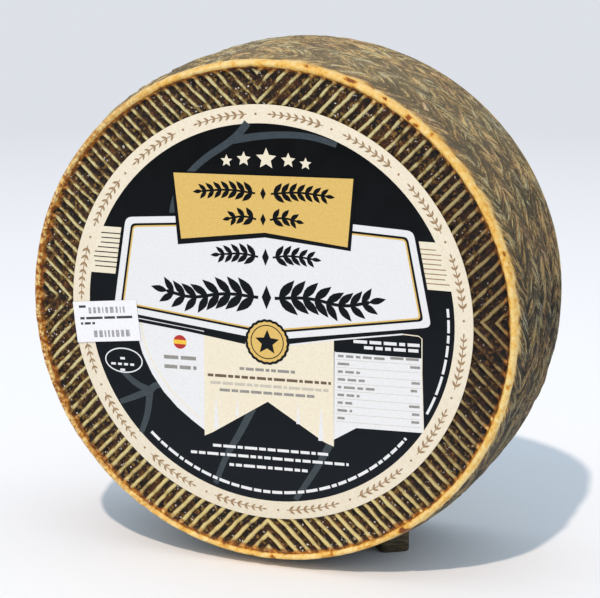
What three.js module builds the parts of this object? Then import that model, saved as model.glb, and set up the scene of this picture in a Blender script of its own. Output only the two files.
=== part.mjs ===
// A cured cheese wheel standing on its edge between two small wooden chocks, with a round
// paper label on its front face and a small date sticker at the label's left edge.
// Millimetres, +Z up. The origin is on the floor, midway along the wheel's thickness.
// The wheel's axis is parallel to Y, and the labelled face looks towards -Y.
import * as THREE from 'three';

// driving dimensions
const wheelThickness = 80;
const bellyRadius = 105.6;     // the side swells to this halfway along the thickness
const bellyLand = 34;          // straight middle of the side, which rests on the floor
const rimRadius = 102;         // outer edge of the rim bead on each face
const rimBeadRadius = 2.2;     // roundness of the rim bead
const faceRecess = 2.2;        // depth of the pressed face below the rim's crest
const faceRadius = 96.8;       // where the pressed face meets the rim
const wheelSegments = 96;

const labelRadius = 84.7;
const labelThickness = 0.3;
const labelSegments = 96;
const clearance = 0.3;         // between a piece and the one that it lies on

const stickerWidth = 28.2;
const stickerHeight = 17;
const stickerThickness = 0.2;
const stickerTilt = THREE.MathUtils.degToRad(-6.4);
const stickerX = -69.6;        // the sticker's centre, measured from the wheel's axis
const stickerZ = -8.1;

const chockX = 41.5;           // the chocks' centres, either side of the wheel's lowest line
const chockLength = 13;
const chockWidth = 12;
const chockTurn = THREE.MathUtils.degToRad(32);

const halfThickness = wheelThickness / 2;
const faceY = -halfThickness + faceRecess;
const axisHeight = bellyRadius * Math.cos(Math.PI / wheelSegments);

const rindMaterial = new THREE.MeshStandardMaterial({ color: 0x8a7443, roughness: 0.7, metalness: 0 });
const printMaterial = new THREE.MeshStandardMaterial({ color: 0x17191c, roughness: 0.4, metalness: 0 });
const paperMaterial = new THREE.MeshStandardMaterial({ color: 0xf4f3f1, roughness: 0.6, metalness: 0 });
const woodMaterial = new THREE.MeshStandardMaterial({ color: 0x5a4a30, roughness: 0.8, metalness: 0 });

const cheeseWheel = new THREE.Group();

function addPiece(name, geometry, material) {
  const mesh = new THREE.Mesh(geometry, material);
  mesh.name = name;
  cheeseWheel.add(mesh);
  return mesh;
}

// Half of the wheel's outline as (radius, y): the flat pressed face, the round rim bead,
// then the side, which swells along a quarter sine to the straight land at the belly.
function halfOutline() {
  const points = [new THREE.Vector2(0, faceY), new THREE.Vector2(faceRadius, faceY)];
  const beadX = rimRadius - rimBeadRadius;
  const beadY = -halfThickness + rimBeadRadius;
  const beadSteps = 5;
  const beadStart = THREE.MathUtils.degToRad(150);
  for (let i = 0; i <= beadSteps; i += 1) {
    const angle = beadStart * (1 - i / beadSteps);
    points.push(new THREE.Vector2(
      beadX + rimBeadRadius * Math.cos(angle),
      beadY - rimBeadRadius * Math.sin(angle),
    ));
  }
  const sideSteps = 4;
  for (let i = 1; i <= sideSteps; i += 1) {
    const along = i / sideSteps;
    points.push(new THREE.Vector2(
      rimRadius + (bellyRadius - rimRadius) * Math.sin(along * Math.PI / 2),
      beadY + (-bellyLand / 2 - beadY) * along,
    ));
  }
  return points;
}

// One solid of revolution: the half outline and its mirror image, turned about Y.
// The first segment starts half a step round, so that a flat facet lies on the floor.
function makeWheel() {
  const front = halfOutline();
  const back = front.map((p) => new THREE.Vector2(p.x, -p.y)).reverse();
  const halfStep = Math.PI / wheelSegments;
  const wheel = addPiece(
    'cheese_wheel',
    new THREE.LatheGeometry([...front, ...back], wheelSegments, halfStep, 2 * Math.PI),
    rindMaterial,
  );
  wheel.position.z = axisHeight;
}

// A thin disc on the front face.
function makeLabel() {
  const label = addPiece(
    'face_label',
    new THREE.CylinderGeometry(labelRadius, labelRadius, labelThickness, labelSegments),
    printMaterial,
  );
  label.position.set(0, faceY - clearance - labelThickness / 2, axisHeight);
}

// A thin rectangle in front of the label, turned a little.
function makeSticker() {
  const sticker = addPiece(
    'date_sticker',
    new THREE.BoxGeometry(stickerWidth, stickerThickness, stickerHeight),
    paperMaterial,
  );
  const labelFront = faceY - clearance - labelThickness;
  sticker.position.set(stickerX, labelFront - clearance - stickerThickness / 2, axisHeight + stickerZ);
  sticker.rotation.y = stickerTilt;
}

// A small block, turned on the floor, whose top is cut along the plane that touches the
// wheel's side above the block's centre. side is 1 on the right and -1 on the left.
function makeChock(name, side) {
  const block = new THREE.BoxGeometry(chockLength, chockWidth, 1);
  block.rotateZ(side * chockTurn);
  block.translate(side * chockX, 0, 0);
  const touchAngle = Math.asin(chockX / bellyRadius);
  const touchHeight = axisHeight - bellyRadius * Math.cos(touchAngle);
  const drop = clearance / Math.cos(touchAngle);
  const corners = block.attributes.position;
  for (let i = 0; i < corners.count; i += 1) {
    const outwards = side * corners.getX(i) - chockX;
    const top = touchHeight - drop + outwards * Math.tan(touchAngle);
    corners.setZ(i, corners.getZ(i) > 0 ? top : 0);
  }
  addPiece(name, block, woodMaterial);
}

makeWheel();
makeLabel();
makeSticker();
makeChock('chock_right', 1);
makeChock('chock_left', -1);

export default cheeseWheel;
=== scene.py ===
import math

import bpy
import numpy as np
from mathutils import Matrix, Vector


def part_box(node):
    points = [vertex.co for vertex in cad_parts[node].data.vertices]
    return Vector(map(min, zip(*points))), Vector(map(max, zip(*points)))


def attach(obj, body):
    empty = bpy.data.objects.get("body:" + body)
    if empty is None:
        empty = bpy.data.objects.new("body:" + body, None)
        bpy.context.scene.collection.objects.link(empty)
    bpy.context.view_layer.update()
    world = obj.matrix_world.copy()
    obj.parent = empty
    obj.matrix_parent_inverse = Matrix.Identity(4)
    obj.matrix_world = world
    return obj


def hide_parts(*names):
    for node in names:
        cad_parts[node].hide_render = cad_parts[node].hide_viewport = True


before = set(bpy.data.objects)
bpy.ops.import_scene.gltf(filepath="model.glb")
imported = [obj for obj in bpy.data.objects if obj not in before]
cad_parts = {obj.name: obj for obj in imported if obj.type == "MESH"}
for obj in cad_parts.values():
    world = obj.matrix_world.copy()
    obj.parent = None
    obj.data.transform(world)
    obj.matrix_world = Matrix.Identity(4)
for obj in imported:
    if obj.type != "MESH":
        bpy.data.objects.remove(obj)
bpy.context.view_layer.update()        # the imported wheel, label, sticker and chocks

mm = 0.001

# places in millimetres, taken from the frame
wheelLow, wheelHigh = (np.array(corner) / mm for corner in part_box("cheese_wheel"))
labelLow, labelHigh = (np.array(corner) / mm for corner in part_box("face_label"))
stickerLow, stickerHigh = (np.array(corner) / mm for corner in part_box("date_sticker"))
axisHeight = (wheelLow[2] + wheelHigh[2]) / 2
bellyRadius = wheelHigh[0]
halfThickness = wheelHigh[1]
labelRadius = labelHigh[0]
paperFront = labelLow[1]
paperBack = labelHigh[1]


# numbers, noise and meshes

def smoothStep(low, high, value):
    # 0 below low, 1 above high, and the cubic 3t^2 - 2t^3 between them
    t = np.clip((value - low) / (high - low), 0, 1)
    return t * t * (3 - 2 * t)


def latticeValue(cells, seed):
    # a number from -1 to 1 for each lattice cell, made by mixing the bits of its three indices
    mixed = np.uint64(seed * 7919)
    for i, prime in enumerate((73856093, 19349663, 83492791)):
        mixed = mixed ^ cells[..., i].astype(np.uint64) * np.uint64(prime)
    for shift in (13, 17, 5):
        mixed = (mixed ^ (mixed >> np.uint64(shift))) * np.uint64(0x9E3779B97F4A7C15)
    return (mixed >> np.uint64(40)).astype(float) / 2 ** 23 - 1


def smoothNoise(points, cell, seed):
    # value noise: the eight corners of each lattice cell blended by the cubic 3t^2 - 2t^3
    scaled = points / cell + 1000
    base = np.floor(scaled).astype(np.int64)
    part = scaled - base
    part = part * part * (3 - 2 * part)
    total = np.zeros(points.shape[:-1])
    for corner in np.ndindex(2, 2, 2):
        weight = np.prod(np.where(corner, part, 1 - part), axis=-1)
        total += weight * latticeValue(base + np.array(corner), seed)
    return total


def layeredNoise(points, cell, layers, seed):
    # each layer has half the cell size and half the strength of the one before
    total = sum(smoothNoise(points, cell / 2 ** i, seed + i) / 2 ** i for i in range(layers))
    return total / sum(1 / 2 ** i for i in range(layers))


def meshFromArrays(name, points, triangles, smooth=True):
    # points in millimetres, triangles as rows of three indices
    mesh = bpy.data.meshes.new(name)
    mesh.vertices.add(len(points))
    mesh.vertices.foreach_set("co", (points * mm).astype(np.float32).ravel())
    mesh.loops.add(triangles.size)
    mesh.loops.foreach_set("vertex_index", triangles.astype(np.int32).ravel())
    mesh.polygons.add(len(triangles))
    mesh.polygons.foreach_set("loop_start", np.arange(0, triangles.size, 3, dtype=np.int32))
    mesh.polygons.foreach_set("use_smooth", np.full(len(triangles), smooth))
    mesh.update()
    mesh.validate()
    piece = bpy.data.objects.new(name, mesh)
    bpy.context.scene.collection.objects.link(piece)
    return piece


def quads(a, b, c, d):
    # two triangles for each quad whose corners run a, b, c, d
    return np.concatenate([np.stack([a, b, c], 1), np.stack([a, c, d], 1)])


def spokes(middle, ring):
    # triangles from one middle point to each edge of a closed ring of points
    return np.stack([np.full(len(ring), middle), ring, np.roll(ring, -1)], 1)


def gridTriangles(rows, columns):
    # the cells of a grid whose points are counted row by row
    a = (np.arange(rows - 1)[:, None] * columns + np.arange(columns - 1)).ravel()
    return quads(a, a + columns, a + columns + 1, a + 1)


def sheetTriangles(faces, edges, count):
    # a closed sheet: the front, the same turned round at the back, and the wall along the border's edges
    a, b = edges.T
    return np.concatenate([faces, faces[:, ::-1] + count, quads(a + count, b + count, b, a)])


def closedStack(name, rings, first, last):
    # a solid from rings of points, anticlockwise seen from its last end, with a middle point at each end
    rows, columns = rings.shape[:2]
    points = np.concatenate([rings.reshape(-1, 3), [first, last]])
    here = np.arange(columns)
    rowStarts = np.arange(rows - 1)[:, None] * columns
    a = (rowStarts + here).ravel()
    b = (rowStarts + np.roll(here, -1)).ravel()
    ends = [spokes(rows * columns, here[::-1]), spokes(rows * columns + 1, here + (rows - 1) * columns)]
    return meshFromArrays(name, points, np.concatenate([*ends, quads(a, b, b + columns, a + columns)]))


def unit(vectors):
    # each vector at length 1
    return vectors / np.hypot(vectors[..., :1], vectors[..., 1:])


def spinBy(degrees):
    # turns columns into a frame that is turned anticlockwise by the degrees, and rows back out of it
    angle = math.radians(degrees)
    return np.array([[math.cos(angle), math.sin(angle)], [-math.sin(angle), math.cos(angle)]])


# materials

def linearColour(hexCode, alpha=1.0):
    # sRGB hex to the linear values that the shader takes
    parts = [int(hexCode[i:i + 2], 16) / 255 for i in (1, 3, 5)]
    return tuple(c / 12.92 if c <= 0.04045 else ((c + 0.055) / 1.055) ** 2.4 for c in parts) + (alpha,)


def addNode(tree, kind, *inputs, stops=None, **named):
    # One node. Unnamed values go to its inputs in order. A name with a capital is an input, with _ for
    # a space, and any other name is a property. A value is a number, a hex colour, a socket, or a node,
    # which stands for its first output. stops are a colour ramp's (place, hex colour) pairs.
    node = tree.nodes.new("ShaderNode" + kind)
    sockets = dict(enumerate(inputs))
    for key, value in named.items():
        if key[0].isupper():
            sockets[key.replace("_", " ")] = value
        else:
            setattr(node, key, value)
    for key, value in sockets.items():
        if isinstance(value, bpy.types.Node):
            value = next(socket for socket in value.outputs if socket.enabled)
        if isinstance(value, bpy.types.NodeSocket):
            tree.links.new(value, node.inputs[key])
        else:
            node.inputs[key].default_value = linearColour(value) if isinstance(value, str) else value
    if stops:
        band = node.color_ramp
        while len(band.elements) < len(stops):
            band.elements.new(0.5)
        for element, (position, hexCode) in zip(band.elements, stops):
            element.position = position
            element.color = linearColour(hexCode)
    return node


def newMaterial(name):
    # an empty material, its tree, and the place on the object that its patterns read
    material = bpy.data.materials.new(name)
    material.use_nodes = True
    tree = material.node_tree
    tree.nodes.clear()
    return material, tree, addNode(tree, "TexCoord").outputs["Object"]


def paintOver(tree, colour, coats):
    # Coats laid over a colour one by one. Each says its colour, how it blends and the most that it covers,
    # then ranges (value, none, full): the cover is that most times how far each value is from none to full.
    for coat, blend, cover, *ranges in coats:
        for value, none, full in ranges:
            share = addNode(tree, "MapRange", Value=value, From_Min=none, From_Max=full)
            cover = addNode(tree, "Math", share, cover, operation="MULTIPLY")
        colour = addNode(tree, "Mix", Factor=cover, A=colour, B=coat, data_type="RGBA", blend_type=blend)
    return colour


# the cheese

# all lengths in millimetres
cheese = {
    "ridgePitch": 5.76,         # between ridges along the pattern's two axes, so 4.07 across them
    "ridgeHeight": 1.15,
    "crestHalf": 0.09,          # half widths of a ridge's crest and foot, as shares of the pitch
    "footHalf": 0.28,
    "ridgePhase": 0.62,         # where the first ridge crosses a level axis, as a share of the pitch
    "patternTurn": 1.45,        # degrees
    "patternCentre": (-2.0, 2.5),
    "wander": 0.26,             # how far the ridges stray from straight lines
    "ridgeStrength": 0.88,      # share of the full height, and how much it changes from place to place
    "ridgePatches": 0.34,
    "fadeWidth": 1.3,           # the strip inside the rim where the grooves end, and how ragged it is
    "fadeRagged": 1.2,
    "faceGrit": 0.3,            # height of the fine bumps on the face
    "floorDepth": 3.0,          # the pressed face's floor below the rim's crest
    "faceRadius": 99.3,
    "hiddenRadius": 82.5,       # inside this the label covers the front
    "frontRows": 20,
    "hiddenRows": 2,
    "backRows": 44,
    "rimPath": [(99.3, 1.3), (99.55, 0.8), (99.9, 0.35), (100.25, 0.08), (100.65, 0.0), (101.1, 0.18),
                (101.62, 0.8), (102.0, 1.75), (102.25, 2.9)],   # (radius, depth below the crest)
    "rimWaves": 0.4,
    "rimGrit": 0.28,
    "nickDepth": 0.55,
    "raggedEdge": 1.6,          # how raggedly the rim's colour ends on the face
    "goldenDepth": (3.2, 0.6),  # how far down the side the rim's colour runs, at the front and the back
    "swellStart": 2.0,          # how far in from the rim's crest the side begins to swell
    "swellLength": 21.0,
    "bandWidth": 9.0,           # the plaited-grass print: bands that slant to and fro
    "bandCount": 8,
    "bandRows": 7,
    "strandSlant": 33,          # degrees from the way round
    "strandColumns": 3,         # grid columns to a strand of grass
    "ribbonStrands": 5,         # strands to a ribbon of the plait
    "strandDepth": 0.5,
    "ribbonDepth": 1.5,
    "crestShare": 0.4,          # what is left of the height of the crests, which are pressed flat
    "settle": 0.45,             # how far in the plait lies, so that its proudest strands reach the belly
    "unevenness": 0.2,
    "sway": 2.4,                # how far the strands stray from straight lines
}


def herringboneLines(outerRadius):
    # The pattern's lines: each starts on a half axis at distance |u| from the pattern's centre and runs
    # outwards at 45 degrees, so that the ridge |x| - |z| = u turns back on itself at the axis.
    # Returns the start, direction, signed u and ridge level of every line, in order round the wheel,
    # and the wheel's centre and the turn from the wheel's frame to the pattern's.
    spin = spinBy(cheese["patternTurn"])
    hub = spin @ -np.array(cheese["patternCentre"])      # the wheel's centre in the pattern's frame
    axes = np.array([(0, -1), (1, 0), (0, 1), (-1, 0)], float)
    along = axes @ hub
    reach = along + np.sqrt(outerRadius ** 2 - hub @ hub + along ** 2)
    pitch, crest, foot = cheese["ridgePitch"], cheese["crestHalf"], cheese["footHalf"]
    offsets = np.array([-0.5, -foot, -crest, crest, foot])
    signed = ((np.arange(-20, 20)[:, None] + cheese["ridgePhase"] + offsets) * pitch).ravel()
    signed = np.sort(np.append(signed[np.abs(signed) > 0.3], 0))
    starts, ways, levels, lines = [], [], [], []
    for k in range(4):
        here, there = axes[k], axes[(k + 1) % 4]
        sign = 1 if k % 2 else -1                           # u is positive on the level axes
        order = signed if sign < 0 else -signed[::-1]
        order = order[(order > -reach[k] + 0.2) & (order < reach[(k + 1) % 4] - 0.2)]
        start = np.where(order[:, None] < 0, -order[:, None] * here, order[:, None] * there)
        share = np.abs((-sign * order / pitch - cheese["ridgePhase"] + 0.5) % 1 - 0.5)
        level = np.interp(share, [crest, foot, 0.5], [1, 0.1, 0])
        starts += [here * reach[k], *start]
        ways += [np.zeros(2)] + [(here + there) / math.sqrt(2)] * len(order)
        levels += [0, *level]
        lines += [sign * reach[k], *(-sign * order)]
    return np.array(starts), np.array(ways), np.array(lines), np.array(levels), hub, spin


def reachCircle(starts, ways, hub, radius):
    # distance along each line to the circle, or 0 where the line starts outside it
    fromHub = starts - hub
    b = (fromHub * ways).sum(1)
    c = (fromHub ** 2).sum(1) - radius ** 2
    return np.where((c < 0) & (np.abs(ways).sum(1) > 0), -b + np.sqrt(np.maximum(b * b - c, 0)), 0)


def faceGrid(lines, rowGroups, side):
    # Points of one pressed face, from the pattern's axes (first row) out to the foot of the rim (last row).
    # Height above the floor = ridge level x ridge height x slow noise, fading out before the rim,
    # plus fine noise. side is -1 for the front and 1 for the back.
    starts, ways, acrossLine, level, hub, spin = lines
    distances, last = [], np.zeros(len(starts))
    for radius, count in rowGroups:
        reached = reachCircle(starts, ways, hub, radius)
        share = np.linspace(0, 1, count + 1)[(1 if distances else 0):, None]
        distances.append(last + (reached - last) * share)
        last = reached
    distance = np.concatenate(distances)
    flat = (starts + ways * distance[..., None] - hub) @ spin      # back in the wheel's own frame
    radius = np.hypot(flat[..., 0], flat[..., 1])
    place = np.stack([flat[..., 0], np.full(radius.shape, side * 50.0), flat[..., 1]], -1)
    inside = 1 - smoothStep(cheese["faceRadius"] - 3, cheese["faceRadius"] - 0.3, radius)
    wander = cheese["wander"] * inside[..., None]
    flat = flat + wander * np.stack([layeredNoise(place, 7, 2, seed) for seed in (3, 4)], -1) * 2
    patches = layeredNoise(place, 9, 2, 5) + smoothNoise(place, 2.6, 8)
    strength = cheese["ridgeStrength"] + cheese["ridgePatches"] * patches
    # how far in from the rim the grooves begin to rise
    reach = cheese["fadeWidth"] + cheese["fadeRagged"] * layeredNoise(place, 3, 2, 6)
    climb = smoothStep(0, 1, (radius - cheese["faceRadius"] + reach) / reach)
    lip = (cheese["floorDepth"] - cheese["rimPath"][0][1]) / cheese["ridgeHeight"]
    height = np.maximum(level * strength * (1 - climb), 0) + lip * climb
    bumps = cheese["faceGrit"] * layeredNoise(place, 2.0, 2, 7) * inside
    y = side * (halfThickness - cheese["floorDepth"] + cheese["ridgeHeight"] * height + bumps)
    if side < 0:
        y = np.where(radius < labelRadius + 0.3, np.maximum(y, paperBack - 0.1), y)   # under the label
    points = np.stack([flat[..., 0], y, flat[..., 1]], -1)
    grain = np.stack([np.broadcast_to(acrossLine / math.sqrt(2), distance.shape), distance], -1)
    return points, grain, np.clip(height + 0.6 * bumps - (lip - 0.25) * climb, 0, 1)


def rimGrid(angles, evenAngles, side):
    # The rim bead: its outline carried round the wheel, while the columns slide from where the
    # herringbone lines end to even spacing. Noise roughens it, and a few short nicks cut into it.
    path = np.array(cheese["rimPath"])
    slide = np.linspace(0, 1, len(path))[:, None]
    angle = angles + (evenAngles - angles) * slide
    radius = np.broadcast_to(path[:, :1], angle.shape)
    depth = np.broadcast_to(path[:, 1:], angle.shape)
    place = np.stack([radius * np.cos(angle), side * 50 + depth * side, radius * np.sin(angle)], -1)
    body = np.sin(math.pi * slide)                      # no change where the rim meets its neighbours
    rough = cheese["rimWaves"] * layeredNoise(place, 9, 3, 11)
    rough = rough + cheese["rimGrit"] * layeredNoise(place, 2.4, 2, 15)
    nicks = smoothStep(0.5, 0.8, smoothNoise(place, 3.2, 17))
    nicks = nicks * smoothStep(-0.1, 0.3, smoothNoise(place, 30, 18))      # they come in groups
    lift = body * (rough - cheese["nickDepth"] * nicks)
    y = side * (halfThickness - depth + np.minimum(lift, 0.06 + depth))      # hardly past the full thickness
    points = np.stack([(radius + 0.5 * lift) * np.cos(angle), y, (radius + 0.5 * lift) * np.sin(angle)], -1)
    return points, np.clip(0.6 + 0.5 * rough - 0.6 * nicks, 0, 1)


def sideGrid(evenAngles):
    # The side: radius by y swells along a quarter sine to the belly. The plaited-grass print is laid on
    # a grid whose columns zigzag with the strands: strands are ribs along the columns, and ribbons of
    # five strands dive under each other at the borders of the bands.
    bandWidth, bandCount, bandRows = cheese["bandWidth"], cheese["bandCount"], cheese["bandRows"]
    columns = len(evenAngles)
    start = -bandCount * bandWidth / 2
    edge = -halfThickness + cheese["rimPath"][-1][1]
    bands = start + bandWidth * np.arange(bandCount * bandRows + 1) / bandRows
    y = np.concatenate([[edge], bands, [-edge]])
    printed = np.clip(y - start, 0, bandCount * bandWidth) / bandWidth
    zigzag = np.abs((printed + 1) % 2 - 1)                # 0 at one border of a band, 1 at the next
    shift = zigzag * bandWidth / math.tan(math.radians(cheese["strandSlant"])) / bellyRadius
    angle = evenAngles - shift[:, None]
    swell = np.clip((halfThickness - cheese["swellStart"] - np.abs(y)) / cheese["swellLength"], 0, 1)
    swell = np.sin(swell * math.pi / 2)
    rimEnd = cheese["rimPath"][-1][0]
    radius = rimEnd + (bellyRadius - rimEnd) * swell[:, None] + np.zeros(columns)
    place = np.stack([radius * np.cos(angle), np.broadcast_to(y[:, None], angle.shape),
                      radius * np.sin(angle)], -1)
    column = np.arange(columns)
    strand = column // cheese["strandColumns"]
    perRibbon = cheese["strandColumns"] * cheese["ribbonStrands"]
    band = np.minimum(np.floor(printed), bandCount - 1).astype(int)
    stagger = (band % 2) * perRibbon // 2
    ribbonPlace = (column + stagger[:, None]) / perRibbon
    across = ribbonPlace % 1
    ribbon = np.floor(ribbonPlace)
    alongBand = printed - band
    rise = np.sin(math.pi * np.clip(alongBand, 0, 1))[:, None] ** 0.7
    zero = np.zeros((len(y), columns), np.int64)
    strandKey = np.stack([strand + zero, band[:, None] + zero, zero + 7], -1) + 500
    ribs = np.array([-1.0, 0.3, 0.7])[column % cheese["strandColumns"]]      # a groove, then the strand
    strandLift = ribs * (1 + 0.5 * latticeValue(strandKey, 20)) + 0.8 * latticeValue(strandKey, 21)
    ribbonKey = np.stack([ribbon.astype(np.int64), band[:, None] + zero, zero], -1) + 100
    ribbonLift = 0.4 * latticeValue(ribbonKey, 22)
    gap = 1 - smoothStep(0.02, 0.2, np.minimum(across, 1 - across))
    worn = smoothStep(-0.6, 0.3, layeredNoise(place, 26, 2, 23))
    # strand by strand coordinates: millimetres across and along the strands, then cells of the given size
    slant = math.sin(math.radians(cheese["strandSlant"]))
    step = 2 * math.pi * bellyRadius / columns * slant
    fibre = np.stack([column * step + zero, y[:, None] / slant + zero, band[:, None] * 31.0 + zero], -1)
    pits = smoothStep(0.15, 0.6, smoothNoise(fibre / (2.2, 8.0, 1.0), 1.0, 24))
    frayed = smoothNoise(fibre / (1.1, 5.0, 1.0), 1.0, 27)
    ribbons = ribbonLift * rise - 0.45 * (1 - rise) - 0.6 * gap * (1 - 0.6 * rise) - 0.55 * pits
    strands = strandLift + 0.8 * frayed
    relief = (cheese["ribbonDepth"] * ribbons + cheese["strandDepth"] * strands) * (0.5 + 0.5 * worn)
    fadeIn = smoothStep(0, 3.5, bandCount * bandWidth / 2 + 1.2 - np.abs(y))[:, None]
    relief = np.where(relief > 0, cheese["crestShare"], 1.0) * relief * fadeIn
    rough = cheese["unevenness"] * layeredNoise(place, 30, 2, 25) + 0.1 * smoothNoise(place, 2.5, 26)
    lift = relief - cheese["settle"] + rough * fadeIn
    sway = np.stack([cheese["sway"] * layeredNoise(place, 13, 2, seed) * fadeIn for seed in (28, 30)], -1)
    angle = angle + sway[..., 0] / bellyRadius
    points = np.stack([(radius + lift) * np.cos(angle), place[..., 1] + 0.7 * sway[..., 1],
                       (radius + lift) * np.sin(angle)], -1)
    return points, fibre[..., :2], np.clip(0.72 + relief / 1.9, 0, 1)


def makeCheese():
    # Both faces, both rims and the side stacked into one grid of rows by columns that goes once round the
    # wheel. Points that fall together, at the seam and the pattern's axes, are merged.
    lines = herringboneLines(cheese["faceRadius"])
    outer, hidden = cheese["faceRadius"], cheese["hiddenRadius"]
    front = faceGrid(lines, [(hidden, cheese["hiddenRows"]), (outer, cheese["frontRows"])], -1)
    back = faceGrid(lines, [(outer, cheese["backRows"])], 1)
    columns = front[0].shape[1]
    ends = front[0][-1]
    angles = np.unwrap(np.arctan2(ends[:, 2], ends[:, 0]))
    evenAngles = np.linspace(0, 2 * math.pi, columns, endpoint=False)
    evenAngles = evenAngles + (angles - evenAngles).mean()
    rims = [rimGrid(angles, evenAngles, side) for side in (-1, 1)]
    flank = sideGrid(evenAngles)
    # rows from the middle of the front, over the rim and along the side, to the middle of the back
    points = np.concatenate([front[0], rims[0][0][1:], flank[0][1:-1], rims[1][0][:0:-1], back[0][::-1]])
    edgeGrain = np.broadcast_to(flank[1][0], (len(cheese["rimPath"]) - 1, columns, 2))
    grain = np.concatenate([front[1], edgeGrain, flank[1][1:-1], edgeGrain, back[1][::-1]])
    relief = np.concatenate([front[2], rims[0][1][1:], flank[2][1:-1], rims[1][1][:0:-1], back[2][::-1]])
    radius = np.hypot(points[..., 0], points[..., 2])
    ragged = cheese["raggedEdge"] * (layeredNoise(points, 3.0, 3, 31) + relief - 0.4)
    rimMask = smoothStep(outer - 1.6, outer + 0.9, radius + ragged)
    depth = halfThickness - np.abs(points[..., 1]) + 2.4 * layeredNoise(points, 6, 3, 32)
    golden = np.where(points[..., 1] < 0, *cheese["goldenDepth"])
    sideMask = smoothStep(golden, golden + 3, depth) * (radius > outer + 1.5)
    # the first column again at the end, so that the grain map can run on past it
    points, grain, relief, rimMask, sideMask = (np.concatenate([a, a[:, :1]], 1)
                                                for a in (points, grain, relief, rimMask, sideMask))
    rows = len(points)
    sideStart = front[0].shape[0]
    sideEnd = rows - back[0].shape[0]
    step = 2 * math.pi * bellyRadius * math.sin(math.radians(cheese["strandSlant"]))
    grain[sideStart:sideEnd, -1, 0] += step
    points[..., 2] = np.maximum(points[..., 2] + axisHeight, 0)    # settled flat where it touches the floor
    flat = points.reshape(-1, 3)
    keys = np.round(flat * 1e4).astype(np.int64)
    _, first, merged = np.unique(keys, axis=0, return_index=True, return_inverse=True)
    merged = merged.ravel()
    triangles = gridTriangles(rows, columns + 1)
    solid = merged[triangles]
    whole = (solid[:, 0] != solid[:, 1]) & (solid[:, 1] != solid[:, 2]) & (solid[:, 2] != solid[:, 0])
    triangles, solid = triangles[whole], solid[whole]
    piece = meshFromArrays("cheese_rind", flat[first], solid)
    mesh = piece.data
    for name, values in (("relief", relief), ("rimMask", rimMask), ("sideMask", sideMask)):
        layer = mesh.attributes.new(name, "FLOAT", "POINT")
        layer.data.foreach_set("value", values.ravel()[first].astype(np.float32))
    grainMap = mesh.uv_layers.new(name="grainMap")
    corners = grain.reshape(-1, 2)[triangles.ravel()] * mm
    grainMap.data.foreach_set("uv", corners.astype(np.float32).ravel())
    print("cheese:", len(first), "points,", len(solid), "triangles,", columns, "columns")
    return piece


# the rind's colours: a ramp for each part, from its hollows to its crests
rindRamps = {
    "face": [(0.0, "#0A0502"), (0.26, "#1C1005"), (0.48, "#4F3412"), (0.68, "#988044"), (0.92, "#D2C892")],
    "fleck": [(0.0, "#050301"), (0.6, "#1E1207"), (0.84, "#5F3C14"), (1.0, "#B08A44")],
    "rim": [(0.14, "#8A4A12"), (0.3, "#D08A2A"), (0.48, "#F0BC58"), (0.75, "#F8DA92")],
    "hue": [(0.26, "#CBC7B0"), (0.4, "#CCC294"), (0.5, "#D9BE7C"), (0.6, "#E2B772"), (0.7, "#CFA87E"),
            (0.8, "#D8CCAC")],
    "shade": [(0.0, "#150D06"), (0.3, "#4A3824"), (0.62, "#A89B84"), (0.95, "#FFFFFF")],
}


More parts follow.
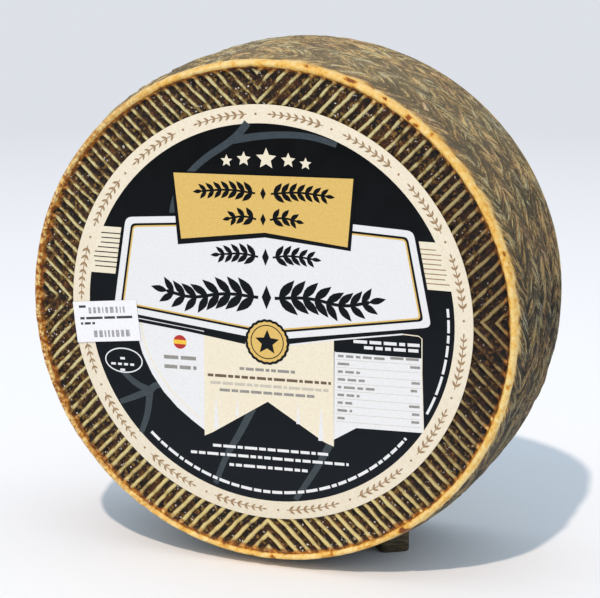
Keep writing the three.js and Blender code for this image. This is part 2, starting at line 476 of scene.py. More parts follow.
def makeRindMaterial():
    # Cured sheep's-milk rind, pressed and oiled: a dull oily sheen, pale rubbed crests, dark mould in the
    # hollows, a golden rim like wax and grey-olive sides.
    material, tree, place = newMaterial("cured rind, pressed and oiled")
    grain = addNode(tree, "UVMap", uv_map="grainMap")
    relief, rimMask, sideMask = (addNode(tree, "Attribute", attribute_name=name).outputs["Fac"]
                                 for name in ("relief", "rimMask", "sideMask"))
    spread = addNode(tree, "SeparateXYZ", place)
    acrossWay, upWay = spread.outputs["X"], spread.outputs["Z"]

    # mottles, with a blotch's width in millimetres
    fine, grit, medium, broad = (
        addNode(tree, "TexNoise", Vector=place, Scale=1 / (width * mm), Detail=detail, Roughness=0.6)
        for width, detail in ((0.7, 4), (1.5, 3), (5.0, 3), (24.0, 2)))

    # fibres that follow the strands of grass, with their width and length in millimetres
    fibres = []
    for width, length, start, detail, roughness, bend in ((0.85, 7.5, (0, 0, 0), 4, 0.75, 0.3),
                                                          (2.4, 13.0, (0, 0, 0), 3, 0.6, 0),
                                                          (2.3, 14.0, (7.3, 3.1, 0), 3, 0.7, 0)):
        drawn = addNode(tree, "Mapping", Vector=grain, Location=start,
                        Scale=(1 / (width * mm), 1 / (length * mm), 1))
        fibres.append(addNode(tree, "TexNoise", Vector=drawn, Scale=1, Detail=detail, Roughness=roughness,
                              Distortion=bend))
    streaks, drift, tuft = fibres

    # specks in the hollows: cells a millimetre wide with bent borders, each with three chances of its own
    scatter = addNode(tree, "TexNoise", Vector=place, Scale=1 / mm, Detail=2)
    bent = addNode(tree, "VectorMath", scatter.outputs["Color"], (1.6 * mm,) * 3, place,
                   operation="MULTIPLY_ADD")
    specks = addNode(tree, "TexVoronoi", Vector=bent, Scale=1 / (1.05 * mm))
    chance = addNode(tree, "SeparateColor", specks.outputs["Color"])

    # each ramp is read at a base value plus layers: a mottle less its middle, times an amount
    ramps = {}
    for part, value, *layers in (
            ("face", relief, (fine, 0.5, 0.6), (grit, 0.5, 0.7)),
            ("fleck", chance.outputs[2]),
            ("rim", relief, (medium, 0.5, 0.7), (grit, 0.5, 0.8)),
            ("hue", drift, (broad, 0.5, 0.9)),
            ("shade", relief, (streaks, 0.53, 3.6), (tuft, 0.5, 3.0), (fine, 0.5, 1.4))):
        for mottle, middle, amount in layers:
            centred = addNode(tree, "Math", mottle, middle, operation="SUBTRACT")
            value = addNode(tree, "Math", centred, amount, value, operation="MULTIPLY_ADD")
        ramps[part] = addNode(tree, "ValToRGB", value, stops=rindRamps[part])

    # the rim is golden where it is rubbed, and burnt orange along its inner edge and in the nicks
    rim = paintOver(tree, ramps["rim"], [
        ("#9A6224", "MULTIPLY", 1, (acrossWay, -40 * mm, -96 * mm), (grit, 0.64, 0.4))])
    inner = paintOver(tree, "#7A3E10", [("#C07A24", "MIX", 1, (grit, 0.4, 0.62))])
    face = paintOver(tree, ramps["face"], [
        ("#74401A", "MIX", 0.6, (medium, 0.48, 0.66), (relief, 0.9, 0.2)),      # rust-brown stains
        (ramps["fleck"], "MIX", 0.6, (relief, 0.75, 0.2)),
        ("#8A5E36", "MIX", 0.55, (specks, 0.46, 0.3), (relief, 0.5, 0.25), (chance.outputs[1], 0.72, 0.82)),
        # painted highlights: tiny white glints of oily shine, painted into the hollows
        ("#EDE7DA", "MIX", 0.85, (specks, 0.4, 0.24), (relief, 0.7, 0.4), (chance.outputs[0], 0.9, 0.95)),
        ("#8F7044", "MULTIPLY", 0.85, (acrossWay, 45 * mm, 98 * mm)),           # darker towards the right
        ("#E2CC86", "MIX", 0.85, (upWay, 70 * mm, 12 * mm), (relief, 0.25, 0.7)),      # painted light: the crests paler towards the foot
        (inner, "MIX", 1, (rimMask, 0.05, 0.55)),
        (rim, "MIX", 1, (rimMask, 0.5, 1.0))])

    # the side: a hue for each fibre, from grey-green to rust gold, times a shade from pit to rubbed crest
    middleHeight, topHeight = axisHeight * mm, 2 * axisHeight * mm
    side = paintOver(tree, ramps["hue"], [
        (ramps["shade"], "MULTIPLY", 1),
        # painted shade: darker from the top down to the middle and below
        ("#C9C4BC", "MULTIPLY", 1, (upWay, topHeight, middleHeight)),
        ("#D8C69E", "MIX", 0.3, (upWay, middleHeight, topHeight)),      # painted light: paler on the sunlit top
        ("#7A766C", "MIX", 0.4, (upWay, 150 * mm, 45 * mm)),            # painted shade: greyer and darker towards the foot
        # the rind between the rim and the plait
        ("#A06C3A", "MIX", 0.6, (sideMask, 0.0, 0.5), (sideMask, 1.0, 0.5))])
    colour = paintOver(tree, face, [(side, "MIX", sideMask)])

    # the plait is duller than the face, and its fibres stand out more than the grit
    dullness = addNode(tree, "Math", sideMask, 0.28, 0.26, operation="MULTIPLY_ADD")
    rough = addNode(tree, "Math", fine, 0.3, dullness, operation="MULTIPLY_ADD")
    fibre = addNode(tree, "Math", streaks, sideMask, operation="MULTIPLY")
    gritty = addNode(tree, "Math", fine, grit, operation="ADD")
    height = addNode(tree, "Math", fibre, 2, gritty, operation="MULTIPLY_ADD")
    bump = addNode(tree, "Bump", Height=height, Strength=0.85, Distance=0.5 * mm)
    shader = addNode(tree, "BsdfPrincipled", Base_Color=colour, Roughness=rough, Normal=bump, IOR=1.46,
                     Specular_IOR_Level=0.3)
    addNode(tree, "OutputMaterial", Surface=shader)
    return material


# the paper label and its print
# Places on the label are in units of 1/83 of its radius, x to the right and z up from its middle.
printUnit = labelRadius / 83
label = {
    "levelStep": 0.02,          # millimetres that each ink stands in front of the one below
    "inkDepth": 0.15,           # how far an ink reaches back from its front, into what it lies on
    "edgeRound": 0.1,
    "turn": 1.5,                # degrees that the label is turned, anticlockwise
    "fieldRadius": 75.7,
    "garlandRadius": 79.3,
    "garlandRepeats": 16,
    "stars": [(-16.7, 60.3, 2.5), (-9.6, 61.4, 3.0), (-0.4, 62.0, 4.3), (8.6, 61.9, 3.0), (15.6, 61.0, 2.5)],
    "banner": [(-35.8, 28.2), (-1.0, 33.1), (32.8, 29.8), (34.9, 56.5), (-38.8, 54.3)],
    "bannerShadow": [(-37.2, 25.8), (-0.8, 31.2), (34.1, 28.4), (36.2, 57.0), (-39.9, 54.9)],
    "plaque": [(-65.2, -3.0), (0.0, -9.8), (66.5, 1.2), (58.8, 38.0), (0.0, 40.3), (-59.4, 35.2)],
    "shield": [(-26.5, -8.0), (-55.5, -5.0), (-55.0, -13.0), (-53.0, -20.0), (-49.0, -28.0), (-44.0, -35.0),
               (-38.0, -41.0), (-32.0, -45.5), (-26.5, -49.2)],
    "ribbon": [(-26.5, -9.0), (-26.5, -51.5), (-23.0, -49.7), (0.3, -34.8), (24.0, -49.0), (27.8, -50.3),
               (27.5, -7.2), (9.0, -10.8), (0.0, -12.0), (-9.0, -11.4)],
    "panel": [(27.8, -11.8), (27.8, -47.5), (37.0, -41.8), (64.3, -41.0), (63.0, -11.2)],
    "seal": (0.1, -10.5),
    "veins": [[(-8, 75.5), (-12, 70.5), (-17, 66.5), (-24, 62), (-31, 56), (-36.5, 49), (-39.5, 41),
               (-40, 34)],
              [(-14, 68.5), (-2, 71), (10, 72), (19, 71.5), (28, 69)],
              [(-50, -35), (-56, -33), (-62, -28)], [(-50, -35), (-56, -38), (-63, -41)],
              [(-50, -35), (-51, -45), (-54, -53)], [(-50, -35), (-47, -32), (-40, -33)],
              [(-6, -38), (-12, -50), (-17, -58), (-22, -71)], [(27, -48), (23, -56), (19, -63), (12, -74)]],
}
inks = {}


def thinSolid(flat, faces, edges, level):
    # A closed sheet: flat points in label units, the triangles that cover them, and their border's
    # edges with the sheet on the left. Two copies of the points, front and back, joined by a wall.
    front = paperFront - label["levelStep"] * level
    x, z = flat.T * printUnit
    points = np.concatenate([np.stack([x, x * 0 + y, z + axisHeight], 1)
                             for y in (front, front + label["inkDepth"])])
    return points, sheetTriangles(faces, edges, len(flat))


def fan(ink, level, outline, middle=None):
    # a sheet spread from a point inside the outline that sees all of it, or else from the mean point
    outline = np.asarray(outline, float)
    middle = outline.mean(0) if middle is None else np.array(middle, float)
    following = np.roll(outline, -1, axis=0)
    if (outline[:, 0] * following[:, 1] - outline[:, 1] * following[:, 0]).sum() < 0:
        outline = outline[::-1]
    ring = np.arange(len(outline))
    faces = spokes(len(ring), ring)
    flat = np.concatenate([outline, middle[None]])
    inks.setdefault(ink, []).append(thinSolid(flat, faces, faces[:, 1:], level))


def strip(ink, level, left, right, closed=False):
    # a sheet between two lines of points, on the left and on the right of the way along it
    count = len(left)
    here = np.arange(count if closed else count - 1)
    there = (here + 1) % count
    faces = quads(here + count, there + count, there, here)
    edges = [np.stack([here + count, there + count], 1), np.stack([there, here], 1)]
    if not closed:
        edges.append(np.array([[0, count], [2 * count - 1, count - 1]]))
    flat = np.concatenate([left, right])
    inks.setdefault(ink, []).append(thinSolid(flat, faces, np.concatenate(edges), level))


def line(ink, level, path, width):
    # a stroke: the path's points moved half the width to either side
    path = np.asarray(path, float)
    ahead = np.gradient(path, axis=0)
    side = unit(np.stack([-ahead[:, 1], ahead[:, 0]], 1))
    half = np.broadcast_to(np.asarray(width) / 2, len(path))[:, None]
    strip(ink, level, path + side * half, path - side * half)


def circle(centre, radius, count=48):
    # points evenly round a centre, with one radius for all or one for each
    turn = np.linspace(0, 2 * math.pi, count, endpoint=False)
    return np.array(centre) + np.stack([np.cos(turn), np.sin(turn)], 1) * np.reshape(radius, (-1, 1))


def arc(radius, start, end, count=80):
    # points on a circle about the label's middle, from one angle in degrees to another
    turn = np.radians(np.linspace(start, end, count))
    return radius * np.stack([np.cos(turn), np.sin(turn)], 1)


def inset(corners, distance):
    # every edge moved inwards by the distance and met with its neighbours; corners are anticlockwise
    corners = np.asarray(corners, float)
    after = unit(np.roll(corners, -1, axis=0) - corners)
    before = np.roll(after, 1, axis=0)
    turn = before[:, 0] * after[:, 1] - before[:, 1] * after[:, 0]
    return corners + distance * (after - before) / turn[:, None]


def rounded(corners, cut, steps=5):
    # each corner replaced by a quadratic curve that starts and ends the cut length from it
    corners = np.asarray(corners, float)
    first, last = (corners + cut * unit(np.roll(corners, way, axis=0) - corners) for way in (1, -1))
    t = np.linspace(0, 1, steps)[None, :, None]
    curve = (1 - t) ** 2 * first[:, None] + 2 * t * (1 - t) * corners[:, None] + t ** 2 * last[:, None]
    return curve.reshape(-1, 2)


def smoothed(points, rounds=3):
    # corner cutting: each round puts two points at a quarter and three quarters of every stretch
    points = np.asarray(points, float)
    for _ in range(rounds):
        a, b = points[:-1], points[1:]
        middle = np.stack([0.75 * a + 0.25 * b, 0.25 * a + 0.75 * b], 1).reshape(-1, 2)
        points = np.concatenate([points[:1], middle, points[-1:]])
    return points


def pointsAlong(path, distance):
    # the place and the direction at each distance along a path, and the path's length
    path = np.asarray(path, float)
    run = np.append(0, np.cumsum(np.hypot(*np.diff(path, axis=0).T)))
    before, place, after = (
        np.stack([np.interp(np.asarray(distance) + step, run, path[:, i]) for i in (0, 1)], -1)
        for step in (-0.05, 0, 0.05))
    return place, unit(after - before), run[-1]


def leaf(ink, level, base, heading, length, width):
    # a pointed oval: its half width is the sine of the way along it, drawn out at the tip
    t = np.array([0, 0.12, 0.3, 0.5, 0.7, 0.88, 1.0])
    half = width / 2 * np.sin(math.pi * t) * (1.25 - 0.5 * t)
    way = np.array([math.cos(heading), math.sin(heading)])
    across = np.array([-way[1], way[0]])
    middle = np.array(base) + t[:, None] * length * way
    outline = np.concatenate([middle - half[:, None] * across, (middle + half[:, None] * across)[-2:0:-1]])
    fan(ink, level, outline)


def sprig(ink, level, path, pairs, length, width, tilt=38, stem=0.5):
    # a stem with pairs of leaves that lean forwards, and one leaf at its tip
    _, _, whole = pointsAlong(path, 0)
    line(ink, level - 0.3, path, stem)
    for step in range(pairs):
        place, ahead, _ = pointsAlong(path, whole * (step + 0.35) / pairs)
        heading = math.atan2(ahead[1], ahead[0])
        size = 1 - 0.28 * step / pairs
        for lean in (-1, 1):
            own = level + 0.03 * (2 * step + lean)       # so that no two leaves lie in one plane
            leaf(ink, own, place, heading + lean * math.radians(tilt), length * size, width * size)
    place, ahead, _ = pointsAlong(path, whole)
    leaf(ink, level, place - ahead * 0.3, math.atan2(ahead[1], ahead[0]), length * 0.72, width * 0.72)


def wordBars(ink, level, path, height, seed, longest=6.5, gap=1.0):
    # stand-ins for small print: a row of plain bars of uneven length along a path
    _, _, whole = pointsAlong(path, 0)
    chance = np.random.default_rng(seed)
    at = 0.0
    while at < whole - 0.8:
        length = min(chance.uniform(0.3, 1.0) * longest, whole - at)
        place, _, _ = pointsAlong(path, np.linspace(at, at + length, 3 + int(length)))
        line(ink, level, place, height)
        at += length + gap


def turned(points, centre=(0, 0), degrees=None):
    # points turned anticlockwise about a centre, by the label's own turn if no other is given
    spin = spinBy(label["turn"] if degrees is None else degrees)
    return (np.asarray(points, float) - centre) @ spin + centre


def starOutline(x, z, radius):
    # ten points by turns on an outer and an inner circle, the first one straight up
    spoke = np.arange(10)
    reach = radius * np.where(spoke % 2, 0.46, 1.0)
    angle = math.pi / 2 + spoke * math.pi / 5
    return np.stack([x + reach * np.cos(angle), z + reach * np.sin(angle)], 1)


def levelPath(z, left, right):
    # a level path from left to right, turned with the label
    return turned([(left, z), ((left + right) / 2, z), (right, z)], (0, z))


def printGround():
    # the black field with slate veins, stars, the small rows of print and the oval
    fan("black", 1, circle((0, 0), label["fieldRadius"], 144))
    for i, path in enumerate(label["veins"]):
        way = smoothed(path)
        line("slate", 1.5 + 0.1 * i, way, np.linspace(3.1, 2.1, len(way)))
    for x, z, radius in label["stars"]:
        fan("cream", 3, starOutline(x, z, radius), (x, z))
    for z, left, right, seed in ((-54.5, -23, 25.5, 1), (-58.0, -32.5, 34, 2), (-62.0, -16, 17, 3)):
        wordBars("white", 3, levelPath(z, left, right), 1.15, seed, longest=5.5, gap=0.8)
    wordBars("white", 3, arc(72.0, 226.5, 322.5), 1.2, 4, longest=5, gap=0.8)
    wordBars("white", 3, arc(73.3, -27, 7), 1.0, 5, longest=9)
    oval = circle((0, 0), 1.0)
    middle = np.array([-61.2, -23.6])
    strip("white", 3, oval * (7.7, 4.7) + middle, oval * (8.2, 5.2) + middle, closed=True)
    for rise, half in ((2.4, 1.6), (0, 5.6), (-2.4, 1.6)):
        path = levelPath(middle[1] + rise, middle[0] - half, middle[0] + half)
        wordBars("white", 3, path, 0.95, 6, longest=3)


def printGarland():
    # round the paper border: leafy sprigs with a dot between them
    step = 360 / label["garlandRepeats"]
    for i in range(label["garlandRepeats"]):
        start = 96 + i * step
        path = arc(label["garlandRadius"], start, start + 0.68 * step, 12)
        sprig("brown", 1, path, 7, 2.9, 1.0, stem=0.36)
        dot = arc(label["garlandRadius"], start + 0.885 * step, start + step, 2)[0]
        fan("brown", 1, circle(dot, 0.5, 10))


def printPanels():
    # the two cream panels that run under the plaque from the border, ruled with fine lines
    for side, top, bottom, edge, ink, first, gap in ((-1, 30.8, 11.8, 61.0, "black", 28.2, 1.96),
                                                     (1, 34.2, 15.8, 60.5, "brown", 31.3, 1.87)):
        heights = np.linspace(bottom, top, 7)
        ring = np.stack([side * np.sqrt(76.3 ** 2 - heights ** 2), heights], 1)
        near = np.stack([heights * 0 + side * (edge - 4), heights], 1)
        strip("cream", 3, *((ring, near) if side < 0 else (near, ring)))
        for z in first - gap * np.arange(8):
            reach = side * (math.sqrt(75.2 ** 2 - z * z) + 0.8 * math.sin(9 * z))
            line(ink, 4, [(side * (edge - 3), z), ((edge * side + reach) / 2, z), (reach, z)], 0.42)


def printLowerHalf():
    # a white shield on the left, a notched cream ribbon, a ruled table on the right
    fan("white", 3, label["shield"])
    inner = smoothed([(-53.4, -7), (-52.6, -14), (-49.5, -22), (-44, -30.5), (-37, -38), (-28.6, -44.4)])
    line("cream", 4, inner, 0.55)
    fan("white", 3, label["panel"])
    fan("cream", 4, label["ribbon"], (0.5, -22))
    for x, width in ((-21.5, 2.2), (-12.5, 1.3), (13.0, 1.5), (22.5, 2.2)):
        foot = -34.6 - 0.62 * abs(x)
        fan("white", 5, [(x, -33.5), (x - width / 2, foot), (x + width / 2, foot)])
    for z, left, right, seed, ink in ((-22.0, -11.5, 13, 11, "grey"), (-25.5, -25, 26.5, 12, "umber"),
                                      (-28.5, -24, 25.5, 13, "pale"), (-31.3, -20, 21, 14, "grey")):
        wordBars(ink, 5.5, levelPath(z, left, right), 1.15, seed, longest=5, gap=0.7)

    # the roundel and two rows beside the ribbon
    roundel = np.array([-36.8, -13.8])
    fan("red", 5, circle(roundel, 2.8, 28), roundel)
    span = np.linspace(-0.85, 0.85, 5)
    reach = np.sqrt(2.8 ** 2 - span ** 2)
    strip("yellow", 6, np.stack([-reach, span], 1) + roundel, np.stack([reach, span], 1) + roundel)
    for z, left, right, seed in ((-19.3, -43.8, -30, 15), (-23.2, -43.6, -29.8, 16)):
        wordBars("grey", 4, levelPath(z, left, right), 1.5, seed, longest=8)

    # the table: black head with two rows, fine rules, short rows left and right
    fan("black", 4.5, [(28.1, -12.0), (27.9, -4.0), (60.5, -1.2), (63.2, -2.2), (63.4, -11.4)])
    for z, left, right, seed in ((-8.0, 35.5, 62, 21), (-10.2, 39.8, 62, 22)):
        wordBars("white", 5.2, levelPath(z, left, right), 1.25, seed)
    for row, z in enumerate(np.linspace(-14.2, -39.2, 9)):
        width = (19, 5, 9, 11, 15, 9, 6.5, 6, 3)[row]
        wordBars("grey", 4, levelPath(z, 29.2, 29.2 + width), 1.0, 30 + row, longest=5)
        if row not in (2, 5):
            short = (12, 4, 0, 3.4, 3.6, 0, 4.2, 3, 3.2)[row]
            wordBars("grey", 4, levelPath(z + 0.5, 62.4 - short, 62.4), 1.0, 40 + row)
        line("pale", 3.7, levelPath(z - 1.45, 28.6, 62.8), 0.16)
    line("cream", 5.5, [(55.2, -2.5), (61.6, -2.7), (62.9, -3.7), (63.1, -20), (63.7, -41.0)], 0.4)


def printPlaque():
    # nested outlines: black margin, white band, black line, gold line, white middle
    layers = ((-1.3, "black", 6, 3.2), (0.0, "white", 7, 2.6), (2.6, "black", 8, 1.8), (3.5, "gold", 9, 1.5),
              (4.1, "white", 10, 1.2))
    for distance, ink, height, cut in layers:
        fan(ink, height, rounded(inset(label["plaque"], distance), cut))
    # a black line follows the plaque's lower edge on either side of the seal
    line("black", 5, [(-56.5, -6.3), (-33, -8.6), (-9.0, -11.6)], 1.3)
    line("black", 5, [(9.0, -9.9), (28, -5.8), (62, -0.8)], 1.3)
    line("white", 5.4, [(9.0, -10.9), (28, -7.1), (55.2, -2.5)], 0.6)
    for side in (-1, 1):
        branch = smoothed(turned([(side * 3.4, 7.2), (side * 18, 8.4), (side * 31, 5.2), (side * 42, 7.8)]))
        sprig("black", 11, branch, 8, 10.0, 3.7, tilt=44, stem=1.3)
        twig = smoothed(turned([(side * 3.0, 23.4), (side * 10, 24.6), (side * 19, 23.6)]))
        sprig("black", 11, twig, 5, 6.0, 2.3, tilt=44, stem=0.8)
    for z, half in ((7.4, 3.2), (23.4, 2.3)):
        x = -math.radians(label["turn"]) * z
        fan("black", 11, np.array([(0, -1.5), (0.62, 0), (0, 1.5), (-0.62, 0)]) * half + (x, z))


def printBanner():
    # a gold banner on a black one a little larger, with two rows of leaves that part at its middle
    fan("black", 11, label["bannerShadow"], (-1, 42))
    fan("gold", 12, label["banner"], (-1, 42))
    for side in (-1, 1):
        for z, start, end, pairs, length in ((48.4, 3.2, 25.5, 7, 5.6), (38.2, 2.8, 13.5, 3, 5.2)):
            way = smoothed(turned([(side * start - 1.6, z), (side * (start + end) / 2 - 1.6, z + 1.2),
                                   (side * end - 1.6, z)], (-1.6, z)))
            sprig("black", 13, way, pairs, length, 2.2, tilt=44, stem=0.8)
    for z in (48.4, 38.2):
        fan("black", 13, np.array([(0, -3.4), (1.6, 0), (0, 3.4), (-1.6, 0)]) * 0.72 + (-1.6, z))


def printSeal():
    # a scalloped black disc, a gold disc on it with a thin black ring and a star
    centre = np.array(label["seal"])
    turn = np.linspace(0, 2 * math.pi, 160, endpoint=False)
    fan("black", 11, circle(centre, 8.9 + 0.35 * np.abs(np.cos(11 * turn)), 160), centre)
    fan("gold", 12, circle(centre, 7.9 + 0.3 * np.abs(np.cos(11 * turn)), 160), centre)
    strip("black", 13, circle(centre, 6.5), circle(centre, 6.9), closed=True)
    fan("black", 13, starOutline(centre[0], centre[1] - 0.2, 5.2), centre)


def joinSolids(name, solids):
    # many closed sheets as one mesh
    starts = np.cumsum([0] + [len(points) for points, _ in solids])
    triangles = np.concatenate([faces + start for (_, faces), start in zip(solids, starts)])
    return meshFromArrays(name, np.concatenate([points for points, _ in solids]), triangles, smooth=False)


def makeLabelPaper():
    # a disc: its outline (radius, y) is carried round the wheel's axis, with one point at each middle
    edge = label["edgeRound"]
    outline = np.array([(labelRadius - edge, paperFront),
                        (labelRadius - 0.3 * edge, paperFront + 0.3 * edge),
                        (labelRadius, paperFront + edge), (labelRadius, paperBack)])
    turn = np.linspace(0, 2 * math.pi, 192, endpoint=False)[::-1]
    rings = np.stack([outline[:, :1] * np.cos(turn), outline[:, 1:] + 0 * turn,
                      outline[:, :1] * np.sin(turn) + axisHeight], -1)
    return closedStack("label_paper", rings, [0, paperFront, axisHeight], [0, paperBack, axisHeight])


# the date sticker
sticker = {
    "turn": 6.4,                # degrees, anticlockwise
    "width": 28.2,
    "height": 17.0,
    "curl": 0.35,               # how far the loose left edge lifts
}
stickerMiddle = (stickerLow + stickerHigh) / 2


def onSticker(points):
    # millimetres from the sticker's middle to label units
    middle = np.array([stickerMiddle[0], stickerMiddle[2] - axisHeight])
    return (turned(points, degrees=sticker["turn"]) + middle) / printUnit


def makeStickerPaper():
    # A thin closed grid: front and back sheets joined round their border. The left edge lifts by the
    # square of the way out from the last fifth of the width.
    across, up = 30, 10
    u = np.linspace(-0.5, 0.5, across) * sticker["width"]
    v = np.linspace(-0.5, 0.5, up) * sticker["height"]
    grid = np.stack(np.meshgrid(u, v), -1)
    flat = onSticker(grid.reshape(-1, 2)) * printUnit
    lift = sticker["curl"] * np.clip((-grid[..., 0].ravel() / sticker["width"] - 0.4) / 0.1, 0, 1) ** 2
    front = np.stack([flat[:, 0], stickerLow[1] - lift, flat[:, 1] + axisHeight], 1)
    back = front + (0, stickerHigh[1] - stickerLow[1], 0)
    index = np.arange(across * up).reshape(up, across)
    border = np.concatenate([index[0], index[1:, -1], index[-1, -2::-1], index[-2:0:-1, 0]])
    edges = np.stack([border, np.roll(border, -1)], 1)
    faces = sheetTriangles(gridTriangles(up, across)[:, ::-1], edges, len(front))
    return meshFromArrays("sticker_paper", np.concatenate([front, back]), faces, smooth=False)


def printSticker():
    # level 25 is the sticker's front: small black rows, and larger grey rows where a date is stamped
    def row(ink, v, left, right, height, seed, longest, gap):
        path = onSticker([(left, v), ((left + right) / 2, v), (right, v)])
        wordBars(ink, 26, path, height, seed, longest, gap)

    row("stickerBlack", 6.4, -12.6, -8.2, 1.0, 51, 4.0, 0.6)
    row("stickerGrey", 4.7, -7.6, 9.4, 2.5, 52, 1.6, 0.9)
    row("stickerBlack", 1.5, -12.6, 11.6, 1.0, 53, 9.0, 0.7)
    row("stickerBlack", -0.7, -12.6, -5.4, 0.95, 54, 4.0, 0.7)
    row("stickerGrey", -5.2, -6.4, 10.2, 2.8, 55, 1.7, 0.8)


# each ink's two colours, which a fine mottle blends, and its roughness
inkFinish = {
    "black": ("#060708", "#0D0F11", 0.34),
    "slate": ("#273238", "#333F45", 0.4),
    "cream": ("#E8DDC2", "#F0E7D0", 0.5),
    "white": ("#E2E3E3", "#EAEAEA", 0.45),
    "gold": ("#D9B25A", "#E2BF6C", 0.42),
    "brown": ("#8F7250", "#A88B66", 0.5),
    "umber": ("#5C4A36", "#6E5A43", 0.5),
    "grey": ("#85827C", "#9B9892", 0.5),
    "pale": ("#BEB8A8", "#CCC6B6", 0.5),
    "red": ("#A81A12", "#BC2618", 0.45),
    "yellow": ("#EDBE2C", "#F4CB45", 0.45),
    "stickerBlack": ("#2A292B", "#3C3B3D", 0.6),
    "stickerGrey": ("#8C8B90", "#B4B3B8", 0.65),
}


def makeSheetMaterial(name, darker, lighter, roughness, blotch=0.9, specular=0.5, paintedReflectionColour=None):
    # A printed or plain paper sheet: a mottle of two close colours with blotches of the given width in
    # millimetres, and a very fine fibre bump that keeps its gloss from looking like glass. If it has a
    # painted reflection colour, it turns towards that from the label's top to its foot: a painted
    # reflection.
    material, tree, place = newMaterial(name)
    mottle = addNode(tree, "TexNoise", Vector=place, Scale=1 / (blotch * mm), Detail=3)
    fibre = addNode(tree, "TexNoise", Vector=place, Scale=1 / (0.35 * mm), Detail=2)
    tone = paintOver(tree, darker, [(lighter, "MIX", 1, (mottle, 0.3, 0.7))])
    # painted reflection: towards the foot the sheet turns to the reflection colour
    if paintedReflectionColour:
        upWay = addNode(tree, "SeparateXYZ", place).outputs["Z"]
        foot, top = ((axisHeight + way * 70) * mm for way in (-1, 1))
        tone = paintOver(tree, tone, [(paintedReflectionColour, "MIX", 0.9, (upWay, top, foot))])
    rough = addNode(tree, "Math", fibre, 0.12, roughness - 0.06, operation="MULTIPLY_ADD")
    bump = addNode(tree, "Bump", Height=fibre, Strength=0.25, Distance=0.03 * mm)
    shader = addNode(tree, "BsdfPrincipled", Base_Color=tone, Roughness=rough, Normal=bump, IOR=1.48,
                     Specular_IOR_Level=specular)
    addNode(tree, "OutputMaterial", Surface=shader)
    return material


# the wooden chocks
chock = {
    "length": 13.0,
    "width": 12.0,
    "turn": 32.0,               # degrees
    "squareness": 5.0,          # power of the rounded outline: 2 is an ellipse, more is squarer
    "gap": 0.3,                 # left under the wheel
    "worn": 0.28,
}


def makeChock(node, side):
    # A worn block: a rounded outline |x/a|^n + |y/b|^n = 1 carried up to a slanting top that follows
    # the wheel, drawn in at both ends and roughened by noise, with one point at each middle.
    low, high = (np.array(corner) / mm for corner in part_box(node))
    centre = (low + high) / 2
    lean = math.asin(abs(centre[0]) / bellyRadius)
    top = axisHeight - bellyRadius * math.cos(lean) - chock["gap"] / math.cos(lean)
    turn = np.linspace(0, 2 * math.pi, 64, endpoint=False)
    power = 2 / chock["squareness"]
    x = chock["length"] / 2 * np.sign(np.cos(turn)) * np.abs(np.cos(turn)) ** power
    y = chock["width"] / 2 * np.sign(np.sin(turn)) * np.abs(np.sin(turn)) ** power
    rise = np.array([0, 0, 0.02, 0.08, 0.25, 0.5, 0.75, 0.9, 0.97, 1, 1])
    reach = np.array([0, 0.93, 0.98, 1, 1, 1, 1, 1, 0.97, 0.92, 0])
    spin = side * math.radians(chock["turn"])
    px = (math.cos(spin) * x - math.sin(spin) * y) * reach[:, None]
    py = (math.sin(spin) * x + math.cos(spin) * y) * reach[:, None]
    pz = rise[:, None] * (top + side * px * math.tan(lean))
    points = np.stack([px + centre[0], py + centre[1], pz], -1)
    grain = np.stack([points[..., 0], points[..., 1], points[..., 2] * 3], -1)
    push = chock["worn"] * layeredNoise(grain, 3.5, 3, 61) * np.sin(math.pi * rise)[:, None] ** 0.5
    points[..., :2] += push[..., None] * np.stack([px, py], -1) / np.maximum(np.hypot(px, py), 1)[..., None]
    return closedStack(node + "_wood", points[1:-1], points[0, 0], points[-1, 0])


def makeWoodMaterial():
    # Weathered softwood, sawn and handled: dark olive brown, with level grain lines along the block.
    material, tree, place = newMaterial("weathered softwood, sawn")
    lined = addNode(tree, "Mapping", Vector=place, Scale=(1 / (5 * mm), 1 / (5 * mm), 1 / (0.8 * mm)))
    grain = addNode(tree, "TexNoise", Vector=lined, Scale=1, Detail=4)
    colour = addNode(tree, "ValToRGB", grain, stops=[
        (0.3, "#241C12"), (0.48, "#443722"), (0.62, "#5F5236"), (0.8, "#7A6C4C")])
    bump = addNode(tree, "Bump", Height=grain, Strength=0.5, Distance=0.3 * mm)
    shader = addNode(tree, "BsdfPrincipled", Base_Color=colour, Roughness=0.8, Normal=bump)
    addNode(tree, "OutputMaterial", Surface=shader)
    return material


def finishPiece(piece, material, slot, *nodes):
    # gives a piece its material, puts it under the root body and hides the frame's parts that it stands in
    # for
    piece.data.materials.append(material)
    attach(piece, "root")
    if nodes:
        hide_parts(*nodes)


# the camera
view = {
    "target": (14.4, -40.0, 114.0),     # millimetres
    "distance": 867.3,                  # millimetres
    "azimuth": 19.27,                   # this and the next two in degrees
    "elevation": 13.59,
    "roll": 0.2,
    "lens": 132.0,
}

# the light: one warm sun in front and above, and a pale blue sky all round
light = {
    "sunFrom": (0.006, -0.572, 0.82),
    "sunStrength": 1.8,
    "sunColour": "#FFECDC",
    "sunSize": 1.8,                     # degrees across, which sets how soft the shadow is
    "skyColour": "#CBD9E7",
    "skyStrength": 1.0,
    "floorNear": "#F7F8F9",
    "floorFar": "#D7D9DB",              # painted light: the backdrop greys a little with distance from the wheel
    "floorFade": (0.2, 1.1),            # metres from the wheel at which it begins to and has done so
    "floorRadius": 9000,                # millimetres
}


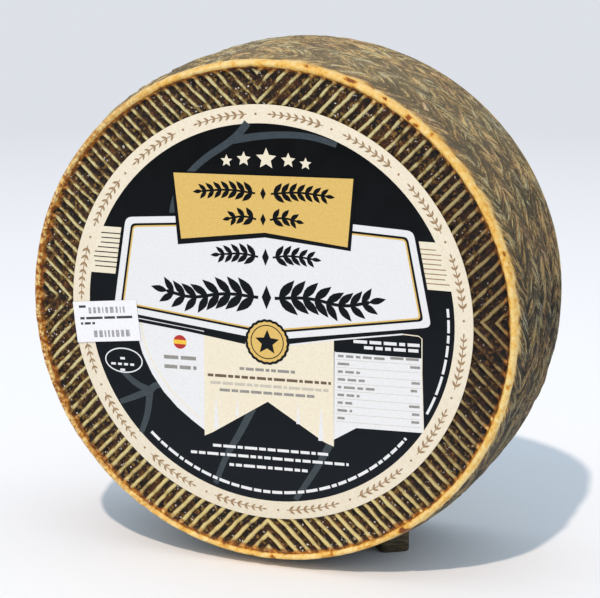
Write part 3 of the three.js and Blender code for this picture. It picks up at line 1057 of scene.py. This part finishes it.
def makeStage():
    # a wide round floor: a flat sheet fanned out from the origin, with its face up
    count = 64
    ring = circle((0, 0), light["floorRadius"], count)
    points = np.append(np.concatenate([[(0, 0)], ring]), np.zeros((count + 1, 1)), 1)
    floor = meshFromArrays("floor", points, spokes(0, np.arange(1, count + 1)), smooth=False)
    material, tree, place = newMaterial("white backdrop paper, matt")
    away = addNode(tree, "VectorMath", place, operation="LENGTH").outputs["Value"]
    # painted light: the floor is brightest by the wheel and greys further away
    tone = paintOver(tree, light["floorNear"], [(light["floorFar"], "MIX", 1, (away, *light["floorFade"]))])
    shader = addNode(tree, "BsdfPrincipled", Base_Color=tone, Roughness=0.9, Specular_IOR_Level=0)
    addNode(tree, "OutputMaterial", Surface=shader)
    floor.data.materials.append(material)

    sun = bpy.data.lights.new("sun", "SUN")
    sun.energy = light["sunStrength"]
    sun.color = linearColour(light["sunColour"])[:3]
    sun.angle = math.radians(light["sunSize"])
    lamp = bpy.data.objects.new("sun", sun)
    lamp.rotation_euler = Vector(light["sunFrom"]).to_track_quat("Z", "Y").to_euler()
    bpy.context.scene.collection.objects.link(lamp)

    world = bpy.data.worlds.new("sky")
    world.use_nodes = True
    sky = world.node_tree.nodes["Background"]
    sky.inputs["Color"].default_value = linearColour(light["skyColour"])
    sky.inputs["Strength"].default_value = light["skyStrength"]
    bpy.context.scene.world = world


def makeCamera():
    # a camera at a distance from its target, with the azimuth counted from straight in front
    azimuth, elevation = math.radians(view["azimuth"]), math.radians(view["elevation"])
    away = Vector((math.sin(azimuth) * math.cos(elevation), -math.cos(azimuth) * math.cos(elevation),
                   math.sin(elevation)))
    camera = bpy.data.cameras.new("camera")
    camera.lens = view["lens"]
    camera.sensor_width = 36
    camera.clip_start = 0.05
    camera.clip_end = 50
    holder = bpy.data.objects.new("camera", camera)
    holder.location = (Vector(view["target"]) + away * view["distance"]) * mm
    spin = Matrix.Rotation(math.radians(view["roll"]), 3, "Z")
    holder.rotation_euler = (away.to_track_quat("Z", "Y").to_matrix() @ spin).to_euler()
    bpy.context.scene.collection.objects.link(holder)
    bpy.context.scene.camera = holder
    bpy.context.scene.view_settings.view_transform = "Standard"


makeStage()
makeCamera()
print("stage and camera are set")

finishPiece(makeCheese(), makeRindMaterial(), "rind", "cheese_wheel")

# label paper: coated, cream, with a faint fibre mottle
labelPaper = makeSheetMaterial("coated label paper, cream", "#E6DAC0", "#EFE5CF", 0.5)
finishPiece(makeLabelPaper(), labelPaper, "label_paper", "face_label")
for printPart in (printGround, printGarland, printPanels, printLowerHalf, printPlaque, printBanner,
                  printSeal, printSticker):
    printPart()
for ink, solids in inks.items():
    if ink == "black":
        # satin black, with a painted reflection that lifts it and turns it bluer towards the foot, and a
        # large area's faint blotches
        finish = makeSheetMaterial("black ink on coated paper, satin", *inkFinish[ink], blotch=9.0,
                                   specular=0.08, paintedReflectionColour="#1A1F24")
    else:
        finish = makeSheetMaterial(ink + " ink on paper", *inkFinish[ink])
    slot = "sticker_paper" if ink.startswith("sticker") else "label_paper"
    finishPiece(joinSolids("print_" + ink, solids), finish, slot)
print("label:", len(inks), "inks,", sum(len(solids) for solids in inks.values()), "printed shapes")

# sticker paper: thermal, white and matt, slightly blue beside the cream label
stickerPaper = makeSheetMaterial("thermal sticker paper, matt", "#ECECEF", "#F3F3F5", 0.62)
finishPiece(makeStickerPaper(), stickerPaper, "sticker_paper", "date_sticker")

wood = makeWoodMaterial()
for node, side in (("chock_right", 1), ("chock_left", -1)):
    finishPiece(makeChock(node, side), wood, "chock_wood", node)
print("sticker and chocks are made")
